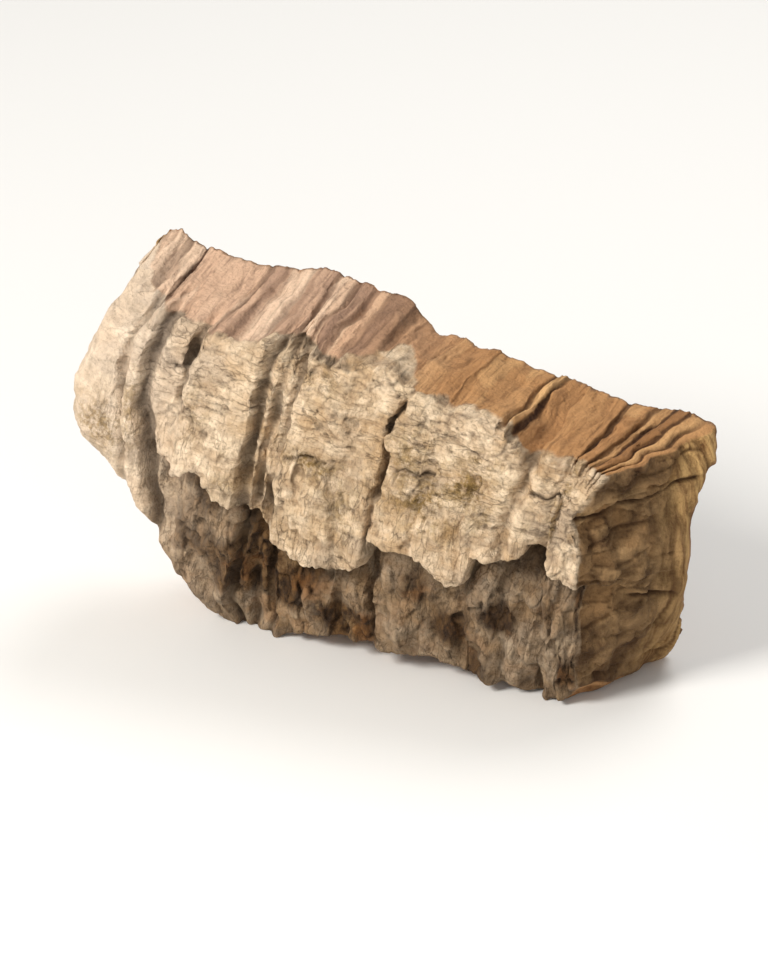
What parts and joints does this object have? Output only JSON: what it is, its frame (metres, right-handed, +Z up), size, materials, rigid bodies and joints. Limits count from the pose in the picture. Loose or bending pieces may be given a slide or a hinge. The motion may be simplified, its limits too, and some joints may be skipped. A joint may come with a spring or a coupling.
{
  "type": "cork bark slab",
  "caption": "Thick curved slab of virgin cork bark: deeply cracked bark face, broken edges and a smooth hollow inner face. It stands on one long edge, as decor or a climbing or planting base.",
  "frame": {"origin": "centre of the bounding box's underside, at the height where the lower broken edge rests", "axes": "+X along the slab's length, towards its slanted end; +Y from the bark face to the inner face; +Z up"},
  "size_m": [0.1486, 0.0458, 0.0855],
  "materials": {
    "cork_bark": "rough, matt"
  },
  "bodies": {
    "root": {"cork_bark_slab": "cork_bark"}
  },
  "joints": []
}
